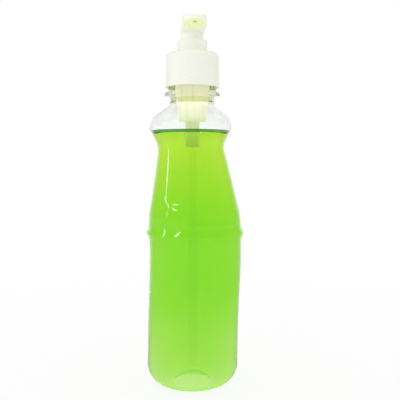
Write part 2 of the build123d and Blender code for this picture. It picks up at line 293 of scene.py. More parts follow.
class Sheet:
    """One new material: its graph, its Principled shader and its output."""

    def __init__(self, name: str) -> None:
        """Open a material with an empty Principled shader.

        Args:
            name: Name of the material.
        """
        self.material = bpy.data.materials.new(name)
        self.material.use_nodes = True
        self.graph = Graph(self.material.node_tree)
        self.shader = self.graph.tree.nodes["Principled BSDF"]
        self.output = self.graph.tree.nodes["Material Output"]

    def set(self, **values: object) -> None:
        """Feed the shader's inputs, with underscores for the spaces in their names."""
        for name, value in values.items():
            self.graph.feed(self.shader.inputs[name.replace("_", " ")], value)

    def skin(self, scales: Point) -> bpy.types.bpy_prop_collection:
        """Give the masks of the uneven skin at a broad and a fine scale."""
        return self.graph.ordered("ShaderNodeGroup", *scales, node_tree=skin_group()).outputs

    def lines(self, sizes: Point) -> Socket:
        """Give the height of the flow lines, which are so fine across and along."""
        return self.graph.ordered("ShaderNodeGroup", *sizes, node_tree=drawn_group()).outputs[0]

    def height(self) -> Socket:
        """Give the height over the floor in metres."""
        return self.graph.add("ShaderNodeSeparateXYZ", {"Vector": self.graph.place()}).outputs["Z"]

    def radius(self) -> Socket:
        """Give the distance from the bottle's axis in metres."""
        return self.graph.vector("LENGTH", self.graph.vector("MULTIPLY", self.graph.place(), (1.0, 1.0, 0.0)))

    def bump(self, height: Socket, strength: float, depth: float) -> None:
        """Raise the skin by a height, with its depth in metres."""
        sizes = {"Height": height, "Strength": strength, "Distance": depth}
        self.set(Normal=self.graph.add("ShaderNodeBump", sizes).outputs["Normal"])

    def glow(self, share: Socket, colour: Colour, strength: float) -> None:
        """Let a share of the skin give off light."""
        self.set(Emission_Color=self.graph.mix(share, BLACK, colour), Emission_Strength=strength)

    def blow(self, gloss: Point, lines: Point = DRAW_LINES, strength: float = WAVE_STRENGTH) -> None:
        """Give the skin a blown wall's uneven gloss and slight waves.

        Args:
            gloss: Roughness where it is brightest and dullest.
            lines: Fineness of the draw lines across and along.
            strength: How strongly the waves show.
        """
        broad = self.skin(BLOWN_SCALES)["Broad"]
        wave = self.graph.math("MULTIPLY_ADD", self.lines(lines), LINE_SHARE, broad)
        self.set(Roughness=self.graph.span(broad, RISING, gloss))
        self.bump(wave, strength, WAVE_DEPTH)

    def overlay(self, share: Socket, shader: Socket) -> None:
        """Show a share of another shader in place of the Principled one."""
        mixed = self.graph.ordered("ShaderNodeMixShader", share, self.shader.outputs[0], shader)
        self.graph.feed(self.output.inputs["Surface"], mixed.outputs[0])

    def let_light_through(self, tint: Colour) -> None:
        """Let light pass straight through the piece to what lies inside and behind it.

        Args:
            tint: Colour that the light takes on.
        """
        clear = self.graph.add("ShaderNodeBsdfTransparent", {"Color": tint}).outputs[0]
        path = self.graph.add("ShaderNodeLightPath").outputs
        self.overlay(self.graph.math("MAXIMUM", path["Is Shadow Ray"], path["Is Diffuse Ray"]), clear)


@dataclass(frozen=True)
class ClearWall:
    """Blown clear plastic with faint draw lines and a slightly wavy skin.

    A thick wall can have a greyer tint towards the edge of a ring: painted shade.
    """

    name: str = "clear_blown_wall"
    tint: Colour = CLEAR
    painted_edge_shade: Colour | None = None
    edge_shade_reach: Point = (0.0148, 0.0162)
    passes: Colour = CLEAR
    ior: float = 1.15
    coat: float = 0.6
    gloss: Point = (0.012, 0.045)
    shown: float = 1.0
    lines: Point = DRAW_LINES
    wave_strength: float = WAVE_STRENGTH

    def make(self) -> Material:
        """Build the material.

        Returns:
            The material.
        """
        sheet = Sheet(self.name)
        tint = self.tint
        # Painted shade: a greyer tint towards the ring's edge.
        if self.painted_edge_shade:
            edge_shade_share = sheet.graph.span(sheet.radius(), self.edge_shade_reach, smooth=True)
            tint = sheet.graph.mix(edge_shade_share, tint, self.painted_edge_shade)
        sheet.set(Base_Color=tint, IOR=self.ior, Transmission_Weight=1.0)
        sheet.set(Coat_Weight=self.coat, Alpha=self.shown)
        sheet.blow(self.gloss, self.lines, self.wave_strength)
        sheet.let_light_through(self.passes)
        return sheet.material


@dataclass(frozen=True)
class DyedSoap:
    """Clear yellow-green soap that wets the wall, so that the two act as one body.

    It takes on the wall's gloss and waves. Its colour deepens with the depth that light passes through.
    Its tints near the level, the base and the dome are painted light, paler where more light gets in;
    the rim's copy paints a dark shade at the level instead.
    """

    name: str = "yellow_green_soap"
    # Painted light near the level, the base and the dome; the rim's copy uses the level tint as painted
    # shade.
    tint: Colour = (0.38, 0.84, 0.045)
    painted_level_tint: Colour = (0.67, 0.91, 0.10)
    painted_level_reach: Point = (0.095, 0.162)
    painted_base_light: Colour = (0.59, 0.90, 0.33)
    base_light_reach: Point = (0.004, 0.065)
    painted_dome_light: Colour = (0.78, 0.94, 0.60)
    dome_reach: Point = (0.012, 0.015)
    cloud_tint: Colour = (0.26, 0.72, 0.02)
    cloud_scales: Point = (17.0, 40.0)
    cloud: float = 0.22
    pass_colour: Colour = (0.72, 0.94, 0.0)
    strength: float = 25.0
    shadow: Colour = (0.72, 0.92, 0.38)
    ior: float = 1.01
    coat: float = 1.0
    coat_ior: float = 1.8
    coat_reach: Point = (0.006, 0.012)
    gloss: Point = (0.0, 0.02)

    def make(self) -> Material:
        """Build the material.

        Returns:
            The material.
        """
        sheet = Sheet(self.name)
        graph = sheet.graph
        clouds = graph.math("MULTIPLY", sheet.skin(self.cloud_scales)["Broad"], self.cloud)
        colour = graph.mix(clouds, self.painted_tints(sheet), self.cloud_tint)
        sheet.set(Base_Color=colour, IOR=self.ior, Transmission_Weight=1.0)
        coat = graph.span(sheet.height(), self.coat_reach, (0.0, self.coat))
        sheet.set(Coat_Weight=coat, Coat_Roughness=self.gloss[1], Coat_IOR=self.coat_ior)
        sheet.blow(self.gloss)
        dye = {"Color": self.pass_colour, "Density": self.strength}
        depth = graph.add("ShaderNodeVolumeAbsorption", dye).outputs[0]
        graph.feed(sheet.output.inputs["Volume"], depth)
        sheet.let_light_through(self.shadow)
        return sheet.material

    def painted_tints(self, sheet: Sheet) -> Socket:
        """Paint light into the body's colour: paler towards the level, the base and the dome.

        Args:
            sheet: The soap's sheet.

        Returns:
            The colour.
        """
        graph, height = sheet.graph, sheet.height()
        base_light_share = graph.span(height, self.base_light_reach, FALLING, smooth=True)
        level_paint_share = graph.span(height, self.painted_level_reach, smooth=True)
        dome_light_share = graph.span(sheet.radius(), self.dome_reach, FALLING)
        base = graph.mix(dome_light_share, self.painted_base_light, self.painted_dome_light)
        return graph.mix(level_paint_share, graph.mix(base_light_share, self.tint, base), self.painted_level_tint)


@dataclass(frozen=True)
class MouldedSkin:
    """Moulded plastic with a little depth, uneven gloss and a fine grain.

    A natural piece also has flow streaks, and above a height a painted glow that stands in for the daylight
    its thin wall passes. Round one place a painted green light and faint glow stand in for light thrown up
    from the soap.
    """

    name: str
    light: Colour
    shade: Colour
    scales: Point = (75.0, 1400.0)
    gloss: Point = (0.26, 0.38)
    ior: float = 1.49
    depth_weight: float = 0.12
    depth_reach: float = 1.5 * MM
    depth_by_colour: Colour = (1.0, 0.95, 0.8)
    grain: float = 0.05
    grain_depth: float = 0.1 * MM
    streak: float = 0.0
    streak_colour: Colour = (0.70, 0.72, 0.45)
    streak_reach: Point = (0.45, 0.62)
    glow: float = 0.0
    glow_colour: Colour = (1.0, 0.80, 0.76)
    glow_reach: Point = (0.146, 0.176)
    painted_soap_light: Colour | None = None
    soap_light_place: Place = (0.0, -0.0165, 0.2225)
    soap_light_reach: Point = (0.004, 0.010)
    soap_light_glow: float = 0.08

    def make(self) -> Material:
        """Build the material.

        Returns:
            The material.
        """
        sheet = Sheet(self.name)
        graph, skin = sheet.graph, sheet.skin(self.scales)
        colour = graph.mix(skin["Broad"], self.light, self.shade)
        if self.streak:
            share = graph.span(sheet.lines(FINE_LINES), self.streak_reach, (0.0, self.streak))
            colour = graph.mix(share, colour, self.streak_colour)
        # Painted light: an emission above a height, standing in for daylight through the thin wall.
        if self.glow:
            share = graph.span(sheet.height(), self.glow_reach, smooth=True)
            sheet.glow(share, self.glow_colour, self.glow)
        # Painted light: round one place a green tint and faint glow stand in for the soap's light thrown up
        # onto the nozzle.
        if self.painted_soap_light:
            apart = graph.vector("DISTANCE", graph.place(), self.soap_light_place)
            wet = graph.span(apart, self.soap_light_reach, FALLING, smooth=True)
            colour = graph.mix(wet, colour, self.painted_soap_light)
            sheet.glow(wet, self.painted_soap_light, self.soap_light_glow)
        rough = graph.span(skin["Broad"], RISING, self.gloss)
        sheet.set(Base_Color=colour, Roughness=rough, IOR=self.ior)
        sheet.set(Subsurface_Weight=self.depth_weight, Subsurface_Scale=self.depth_reach)
        sheet.set(Subsurface_Radius=self.depth_by_colour)
        sheet.bump(skin["Fine"], self.grain, self.grain_depth)
        return sheet.material


@dataclass(frozen=True)
class MilkyWall:
    """Thin natural plastic that passes light through a milky skin, set in soap."""

    name: str = "milky_tube"
    tint: Colour = (0.97, 0.985, 0.90)
    ior: float = 1.008
    gloss: Point = (0.05, 0.10)
    lines: Point = (500.0, 30.0)
    grain: float = 0.06
    grain_depth: float = 0.2 * MM

    def make(self) -> Material:
        """Build the material.

        Returns:
            The material.
        """
        sheet = Sheet(self.name)
        lines = sheet.lines(self.lines)
        rough = sheet.graph.span(lines, NOISE_REACH, self.gloss)
        sheet.set(Base_Color=self.tint, Roughness=rough, IOR=self.ior, Transmission_Weight=1.0)
        sheet.bump(lines, self.grain, self.grain_depth)
        sheet.let_light_through(self.tint)
        return sheet.material


@dataclass(frozen=True)
class DrawnWire:
    """Bright drawn steel wire with a fine grain."""

    name: str = "drawn_spring_wire"
    light: Colour = (0.62, 0.62, 0.60)
    shade: Colour = (0.42, 0.42, 0.42)
    scales: Point = (500.0, 3000.0)
    gloss: Point = (0.18, 0.34)
    grain: float = 0.1
    grain_depth: float = 0.05 * MM

    def make(self) -> Material:
        """Build the material.

        Returns:
            The material.
        """
        sheet = Sheet(self.name)
        skin = sheet.skin(self.scales)
        rough = sheet.graph.span(skin["Fine"], RISING, self.gloss)
        sheet.set(Base_Color=sheet.graph.mix(skin["Broad"], self.light, self.shade))
        sheet.set(Metallic=1.0, Roughness=rough)
        sheet.bump(skin["Fine"], self.grain, self.grain_depth)
        return sheet.material


@dataclass(frozen=True)
class GlassBead:
    """Polished glass of the valve's ball."""

    name: str = "polished_glass_ball"
    tint: Colour = (0.93, 0.97, 0.95)
    ior: float = 1.52
    scales: Point = (400.0, 2500.0)
    gloss: Point = (0.01, 0.05)
    grain: float = 0.04
    grain_depth: float = 0.05 * MM

    def make(self) -> Material:
        """Build the material.

        Returns:
            The material.
        """
        sheet = Sheet(self.name)
        skin = sheet.skin(self.scales)
        rough = sheet.graph.span(skin["Broad"], RISING, self.gloss)
        sheet.set(Base_Color=self.tint, Roughness=rough, IOR=self.ior, Transmission_Weight=1.0)
        sheet.bump(skin["Fine"], self.grain, self.grain_depth)
        return sheet.material


DRY_WALL = ClearWall()
WET_WALL = ClearWall("wetted_blown_wall", ior=1.05, shown=0.04)
# Painted shade: the thick neck's dark cream tint darkens and yellows all that is seen through it.
NECK_WALL = ClearWall(
    "thick_neck_wall",
    tint=(0.75, 0.80, 0.57),
    painted_edge_shade=(0.69, 0.71, 0.60),
    passes=(0.84, 0.87, 0.74),
    ior=1.06,
    coat=1.0,
    lines=FINE_LINES,
    wave_strength=0.5,
)
SOAP_BODY = DyedSoap()
# Painted shade: the faces where the soap climbs the wall get a near-black green tint, a dark band along the
# level.
SOAP_RIM_PAINTED_SHADE = DyedSoap("soap_rim_painted_shade", painted_level_tint=(0.012, 0.20, 0.004), ior=1.0, coat=0.0)
WHITE_SKIN = MouldedSkin("warm_white_skin", (0.95, 0.955, 0.86), (0.94, 0.947, 0.85))
# Painted light: paler than the cap's white to make up for the shade the head sits in, with the painted soap
# light under its nozzle.
HEAD_SKIN_PAINTED_LIGHT = MouldedSkin(
    "warm_white_head_painted_light", (0.985, 0.99, 0.90), (0.975, 0.98, 0.89), painted_soap_light=(0.87, 0.95, 0.52)
)
# Painted light: its glow stands in for daylight through the chamber's thin wall.
CREAM_SKIN = MouldedSkin(
    "cream_chamber_skin",
    (0.98, 0.99, 0.82),
    (0.96, 0.975, 0.78),
    gloss=(0.3, 0.42),
    depth_weight=0.0,
    streak=0.5,
    glow=0.38,
)
SEAL_SKIN = MouldedSkin(
    "pale_seal_skin",
    (0.84, 0.85, 0.80),
    (0.78, 0.80, 0.74),
    gloss=(0.34, 0.48),
    depth_weight=0.3,
    depth_reach=2.0 * MM,
)
FOAM_SKIN = MouldedSkin(
    "white_foam",
    (0.86, 0.86, 0.84),
    (0.74, 0.74, 0.72),
    gloss=(0.7, 0.9),
    depth_weight=0.1,
    depth_reach=1.0 * MM,
    grain=0.6,
)
TUBE_SKIN = MilkyWall()
SPRING_WIRE = DrawnWire()
BALL_GLASS = GlassBead()


# Outlines and meshes

LEAST_STEP = 0.01
CORNER_SHARE = 0.49
THREAD_CREST: Point = (0.4, 1.0)
THREAD_RUN: Point = (0.0, 0.12)
SKIN_MARGIN = 0.02 * MM
SPIRAL_STEPS = 40
WIRE_SIDES = 12


def arc(centre: Point, radius: float, first: float, last: float, steps: int = 10) -> list[Point]:
    """Points of an arc in the plane of radius and height.

    Args:
        centre: Centre of the arc.
        radius: Its radius.
        first: Angle of its first point in degrees, from outwards to upwards.
        last: Angle of its last point.
        steps: Number of chords.

    Returns:
        The points, with both ends.
    """
    angles = np.radians(np.linspace(first, last, steps + 1))
    return [(centre[0] + radius * math.cos(a), centre[1] + radius * math.sin(a)) for a in angles]


def bend(lower: Point, upper: Point, bends: Point, inset: float, steps: int = 10) -> list[Point]:
    """Arc, straight and arc between two upright points of a wall.

    Args:
        lower: Lower end of the run on the outside.
        upper: Upper end of the run on the outside.
        bends: Largest bend radii at the lower and the upper end.
        inset: How far the run is moved inwards.
        steps: Chords of each arc.

    Returns:
        The points from the lower end to the upper one.
    """
    step, rise = upper[0] - lower[0], upper[1] - lower[1]
    outwards = math.copysign(1.0, step)
    total = min(sum(bends), (step**2 + rise**2) / (2 * abs(step)))
    share = total / sum(bends)
    low = bends[0] * share + outwards * inset
    high = bends[1] * share - outwards * inset
    reach = total - abs(step)
    turn = math.atan2(rise, reach) - math.acos(min(1.0, total / math.hypot(reach, rise)))
    angles = np.linspace(0.0, turn, steps + 1)
    start, end = lower[0] - inset, upper[0] - inset
    first = [(start + outwards * low * (1 - math.cos(a)), lower[1] + low * math.sin(a)) for a in angles]
    last = [(end - outwards * high * (1 - math.cos(a)), upper[1] - high * math.sin(a)) for a in angles[::-1]]
    return first + last


def rounded(corners: Sequence[Place], steps: int = 4) -> list[Point]:
    """Round the corners of an open run.

    Args:
        corners: Radius, height and rounding of each corner; the two ends stay sharp.
        steps: Chords of each rounding.

    Returns:
        The points of the rounded run.
    """
    points: list[Point] = [corners[0][:2]]
    for before, corner, after in zip(corners, corners[1:], corners[2:]):
        here = Vector(corner[:2])
        back, ahead = Vector(before[:2]) - here, Vector(after[:2]) - here
        cut = min(corner[2], CORNER_SHARE * back.length, CORNER_SHARE * ahead.length)
        start, end = here + back.normalized() * cut, here + ahead.normalized() * cut
        for t in np.linspace(0.0, 1.0, steps + 1):
            spot = start * (1 - t) ** 2 + here * (2 * t * (1 - t)) + end * t**2
            points.append((spot.x, spot.y))
    return [*points, corners[-1][:2]]


def divided(points: Sequence[Point], step: float) -> list[Point]:
    """Cut the long runs of an outline in equal lengths.

    Args:
        points: Points of the outline.
        step: Greatest length.

    Returns:
        The points with those of the cuts.
    """
    cut: list[Point] = [points[0]]
    for (r0, z0), (r1, z1) in zip(points, points[1:]):
        count = max(1, math.ceil(math.hypot(r1 - r0, z1 - z0) / step))
        cut += [(r0 + (r1 - r0) * k / count, z0 + (z1 - z0) * k / count) for k in range(1, count + 1)]
    return cut


def spread(points: Sequence[Point]) -> list[Point]:
    """Drop the points of an outline that lie on the one before them.

    Args:
        points: Points of the outline.

    Returns:
        The points that are left.
    """
    kept: list[Point] = [points[0]]
    for point in points[1:]:
        if math.dist(point, kept[-1]) > LEAST_STEP:
            kept.append(point)
    return kept


@cache
def turned_tree() -> Tree:
    """Geometry Nodes tree that turns an outline's points about Z into a closed skin.

    Returns:
        The tree, which is built once.
    """
    inputs = {"Outline": SHAPE, "Segments": COUNT, "Finish": FINISH}
    graph = open_group("turned_piece", "GeometryNodeTree", inputs, {"Geometry": SHAPE})
    given = graph.add("NodeGroupInput").outputs
    outline = given["Outline"]
    count = graph.add("GeometryNodeAttributeDomainSize", {"Geometry": outline}).outputs["Point Count"]
    rows = graph.math("ADD", given["Segments"], 1.0)
    sizes = {"Size X": 1.0, "Size Y": 1.0, "Vertices X": count, "Vertices Y": rows}
    grid = graph.add("GeometryNodeMeshGrid", sizes).outputs["Mesh"]
    place = graph.add("GeometryNodeInputPosition").outputs[0]
    axes = graph.add("ShaderNodeSeparateXYZ", {"Vector": place}).outputs
    along = graph.math("MULTIPLY", graph.math("ADD", axes["X"], 0.5), graph.math("SUBTRACT", count, 1.0))
    angle = graph.math("MULTIPLY", graph.math("ADD", axes["Y"], 0.5), math.tau)
    picked = {"Geometry": outline, "Value": place, "Index": graph.math("ROUND", along)}
    sample = graph.add("GeometryNodeSampleIndex", picked, data_type="FLOAT_VECTOR", domain="POINT")
    turn = {"Vector": sample.outputs[0], "Angle": angle}
    spun = graph.add("ShaderNodeVectorRotate", turn, rotation_type="Z_AXIS").outputs[0]
    skin = graph.add("GeometryNodeSetPosition", {"Geometry": grid, "Position": spun})
    close_tree(graph, skin.outputs[0], given["Finish"], merge=0.001 * MM)
    return graph.tree


def close_tree(graph: Graph, geometry: Socket, finish: Socket, merge: float = 0.0) -> None:
    """End a tree in merged, realized geometry that wears its finish.

    Args:
        graph: The tree's graph.
        geometry: The geometry to end.
        finish: The material.
        merge: Distance in metres within which points are joined.
    """
    if merge:
        joined = graph.add("GeometryNodeMergeByDistance", {"Geometry": geometry, "Distance": merge})
        geometry = joined.outputs[0]
    real = graph.add("GeometryNodeRealizeInstances", {"Geometry": geometry})
    worn = graph.add("GeometryNodeSetMaterial", {"Geometry": real.outputs[0], "Material": finish})
    graph.add("NodeGroupOutput", {"Geometry": worn.outputs[0]})


@cache
def thread_tree() -> Tree:
    """Geometry Nodes tree that raises a screw thread on the part of a skin at one radius.

    Returns:
        The tree, which is built once.
    """
    sizes = ("Skin Radius", "Start", "Lead", "Turns", "Depth", "Half Width", "Phase")
    inputs = {"Skin": SHAPE, **{size: NUMBER for size in sizes}, "Finish": FINISH}
    graph = open_group("raised_thread", "GeometryNodeTree", inputs, {"Geometry": SHAPE})
    given = graph.add("NodeGroupInput").outputs
    place = graph.add("GeometryNodeInputPosition").outputs[0]
    axes = graph.add("ShaderNodeSeparateXYZ", {"Vector": place}).outputs
    flat = graph.add("ShaderNodeCombineXYZ", {"X": axes["X"], "Y": axes["Y"]}).outputs[0]
    turn = graph.math("DIVIDE", graph.math("ARCTAN2", axes["Y"], axes["X"]), math.tau)
    angle = graph.math("FRACT", graph.math("ADD", turn, given["Phase"]))
    climb = graph.math("DIVIDE", graph.math("SUBTRACT", axes["Z"], given["Start"]), given["Lead"])
    level = graph.math("SUBTRACT", climb, angle)
    nearest = graph.math("ROUND", level)
    apart = graph.math("ABSOLUTE", graph.math("SUBTRACT", level, nearest))
    off = graph.math("DIVIDE", graph.math("MULTIPLY", apart, given["Lead"]), given["Half Width"])
    ridge = graph.span(off, THREAD_CREST, FALLING, smooth=True)
    done = graph.math("ADD", nearest, angle)
    run_in = graph.span(done, THREAD_RUN, smooth=True)
    run_out = graph.span(graph.math("SUBTRACT", given["Turns"], done), THREAD_RUN, smooth=True)
    on_skin = graph.math("COMPARE", graph.vector("LENGTH", flat), given["Skin Radius"], SKIN_MARGIN)
    shown = graph.math("MULTIPLY", graph.math("MULTIPLY", run_in, run_out), on_skin)
    push = graph.math("MULTIPLY", graph.math("MULTIPLY", ridge, shown), given["Depth"])
    moved = graph.vector("MULTIPLY", graph.vector("NORMALIZE", flat), push)
    skin = graph.add("GeometryNodeSetPosition", {"Geometry": given["Skin"], "Offset": moved})
    close_tree(graph, skin.outputs[0], given["Finish"])
    return graph.tree


@cache
def coil_tree() -> Tree:
    """Geometry Nodes tree that winds round wire in a coil with close turns at both ends.

    Returns:
        The tree, which is built once.
    """
    sizes = ("Coil Radius", "Wire Radius", "Foot", "Height", "Turns", "End Closing")
    inputs = {"Seed": SHAPE, **{size: NUMBER for size in sizes}, "Finish": FINISH}
    graph = open_group("wound_coil", "GeometryNodeTree", inputs, {"Geometry": SHAPE})
    given = graph.add("NodeGroupInput").outputs
    radius = given["Coil Radius"]
    spiral = {"Resolution": SPIRAL_STEPS, "Height": 0.0, "Rotations": given["Turns"]}
    spiral |= {"Start Radius": radius, "End Radius": radius}
    path = graph.add("GeometryNodeCurveSpiral", spiral).outputs[0]
    share = graph.add("GeometryNodeSplineParameter").outputs["Factor"]
    wave = graph.math("SINE", graph.math("MULTIPLY", share, math.tau))
    eased = graph.math("DIVIDE", graph.math("MULTIPLY", wave, given["End Closing"]), math.tau)
    climb = graph.math("MULTIPLY", graph.math("SUBTRACT", share, eased), given["Height"])
    lift = graph.add("ShaderNodeCombineXYZ", {"Z": graph.math("ADD", climb, given["Foot"])}).outputs[0]
    raised = graph.add("GeometryNodeSetPosition", {"Geometry": path, "Offset": lift}).outputs[0]
    circle = {"Resolution": WIRE_SIDES, "Radius": given["Wire Radius"]}
    section = graph.add("GeometryNodeCurvePrimitiveCircle", circle).outputs[0]
    sweep = {"Curve": raised, "Profile Curve": section, "Fill Caps": True}
    close_tree(graph, graph.add("GeometryNodeCurveToMesh", sweep).outputs[0], given["Finish"])
    return graph.tree


@dataclass(frozen=True)
class Thread:
    """A screw thread on a skin, in millimetres and turns; a negative depth goes inwards."""

    skin_radius: float
    turns: float
    depth: float
    half_width: float
    phase: float = 0.0
    start: float = 192.3
    lead: float = 4.23

    def inputs(self) -> dict[str, float]:
        """Give the inputs of the tree that raises the thread, in metres and turns.

        Returns:
            Values by the names of the tree's inputs.
        """
        lengths = {
            "Skin Radius": self.skin_radius,
            "Start": self.start,
            "Lead": self.lead,
            "Depth": self.depth,
            "Half Width": self.half_width,
        }
        metres = {name: length * MM for name, length in lengths.items()}
        return {**metres, "Turns": self.turns, "Phase": self.phase}


def linked(name: str, data: bpy.types.ID) -> Piece:
    """Put a new object in the scene.

    Args:
        name: Name of the object.
        data: Its mesh, lamp or camera.

    Returns:
        The object.
    """
    piece = bpy.data.objects.new(name, data)
    bpy.context.scene.collection.objects.link(piece)
    return piece


def grown(name: str, seed: Mesh, steps: Sequence[tuple[Tree, dict[str, object]]]) -> Mesh:
    """Run Geometry Nodes trees on a seed mesh.

    Args:
        name: Name of the result.
        seed: Mesh that the first tree gets.
        steps: Trees in order, each with its inputs by name.

    Returns:
        The result as a plain mesh.
    """
    carrier = linked(name, seed)
    for tree, values in steps:
        modifier = carrier.modifiers.new(tree.name, "NODES")
        modifier.node_group = tree
        for item in tree.interface.items_tree:
            if item.item_type == "SOCKET" and item.in_out == "INPUT" and item.name in values:
                modifier[item.identifier] = values[item.name]
    return plain_mesh(name, carrier)


def plain_mesh(name: str, carrier: Piece) -> Mesh:
    """Take an object's evaluated mesh as a plain one, and drop the object with its modifiers.

    Args:
        name: Name of the mesh.
        carrier: The object.

    Returns:
        The mesh.
    """
    graph = bpy.context.evaluated_depsgraph_get()
    mesh = bpy.data.meshes.new_from_object(carrier.evaluated_get(graph), depsgraph=graph)
    mesh.name = name
    bpy.data.objects.remove(carrier)
    return mesh


def turned(
    name: str,
    outline: Sequence[Point],
    material: Material,
    segments: int,
    thread: Thread | None = None,
) -> Mesh:
    """Turn an outline about Z.

    Args:
        name: Name of the mesh.
        outline: Radius and height of its points in millimetres, from end to end.
        material: What it wears.
        segments: Steps round the axis.
        thread: The screw thread that is raised on it.

    Returns:
        The closed mesh, with its faces outwards.
    """
    seed = bpy.data.meshes.new(name + "_outline")
    seed.from_pydata([(r * MM, 0.0, z * MM) for r, z in spread(outline)], [], [])
    steps = [(turned_tree(), {"Segments": segments, "Finish": material})]
    if thread:
        steps.append((thread_tree(), {**thread.inputs(), "Finish": material}))
    mesh = grown(name, seed, steps)
    settle(mesh)
    return mesh


def shade(mesh: Mesh, sharp: float) -> None:
    """Shade a mesh smooth up to an angle in degrees."""
    mesh.shade_smooth()
    mesh.set_sharp_from_angle(angle=math.radians(sharp))


def settle(mesh: Mesh) -> None:
    """Turn a closed mesh's faces outwards and shade it smooth.

    Args:
        mesh: The mesh.
    """
    work = bmesh.new()
    work.from_mesh(mesh)
    bmesh.ops.dissolve_degenerate(work, dist=0.0001 * MM, edges=work.edges)
    bmesh.ops.recalc_face_normals(work, faces=work.faces)
    work.to_mesh(mesh)
    work.free()
    shade(mesh, sharp=35.0)


def smooth_copy(name: str, node: Piece, material: Material) -> Mesh:
    """Copy a CAD node's mesh with its triangles joined and shaded smooth.

    Args:
        name: Name of the copy.
        node: The CAD node's object.
        material: What the copy wears.

    Returns:
        The copy.
    """
    mesh = bpy.data.meshes.new(name)
    work = bmesh.new()
    work.from_mesh(node.data)
    bmesh.ops.remove_doubles(work, verts=work.verts, dist=0.002 * MM)
    work.to_mesh(mesh)
    work.free()
    wear(mesh, [material])
    shade(mesh, sharp=30.0)
    return mesh


def moulded_copy(name: str, node: Piece, material: Material, grain: float) -> Mesh:
    """Copy a CAD node's mesh as one even skin whose edges are a little rounded, as a mould leaves them.

    Args:
        name: Name of the copy.
        node: The CAD node's object.
        material: What the copy wears.
        grain: Size of the skin's faces in metres.

    Returns:
        The copy.
    """
    carrier = linked(name, smooth_copy(name + "_raw", node, material))
    remesh = carrier.modifiers.new("even_skin", "REMESH")
    remesh.mode = "VOXEL"
    remesh.voxel_size = grain
    remesh.use_smooth_shade = True
    soften = carrier.modifiers.new("round_edges", "SMOOTH")
    soften.factor = 0.5
    soften.iterations = 6
    mesh = plain_mesh(name, carrier)
    wear(mesh, [material])
    mesh.shade_smooth()
    return mesh


def reshape(mesh: Mesh, move: Callable[[np.ndarray], np.ndarray]) -> None:
    """Move a mesh's points by a rule.

    Args:
        mesh: The mesh.
        move: Rule that gives the new places for the old ones, in millimetres.
    """
    places = np.empty(len(mesh.vertices) * 3)
    mesh.vertices.foreach_get("co", places)
    moved = move(places.reshape(-1, 3) / MM) * MM
    mesh.vertices.foreach_set("co", moved.ravel())
    mesh.update()


def wear(mesh: Mesh, materials: Sequence[Material], choose: Callable[[Face], int] | None = None) -> None:
    """Give a mesh its materials.

    Args:
        mesh: The mesh.
        materials: The materials.
        choose: Rule that gives the number of a face's material. Without it, all wear the first.
    """
    mesh.materials.clear()
    for material in materials:
        mesh.materials.append(material)
    for face in mesh.polygons:
        face.material_index = choose(face) if choose else 0


def placed(mesh: Mesh, body: Body, slot: Slot, *nodes: str) -> Piece:
    """Put a finished mesh in the scene and tie it to the frame.

    Args:
        mesh: The mesh, whose name is the piece's.
        body: The body that it rides on.
        slot: The slot that its finish belongs to; not used.
        nodes: The CAD nodes that it stands for.

    Returns:
        The piece.
    """
    piece = linked(mesh.name, mesh)
    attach(piece, body.value)
    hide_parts(*nodes)
    log.info("%s: %d faces on %s", piece.name, len(mesh.polygons), body.value)
    return piece


# Sub-assemblies


class Wall(Enum):
    """Walls of the bottle, numbered as their materials follow each other."""

    DRY = 0
    WETTED = 1
    THICK = 2


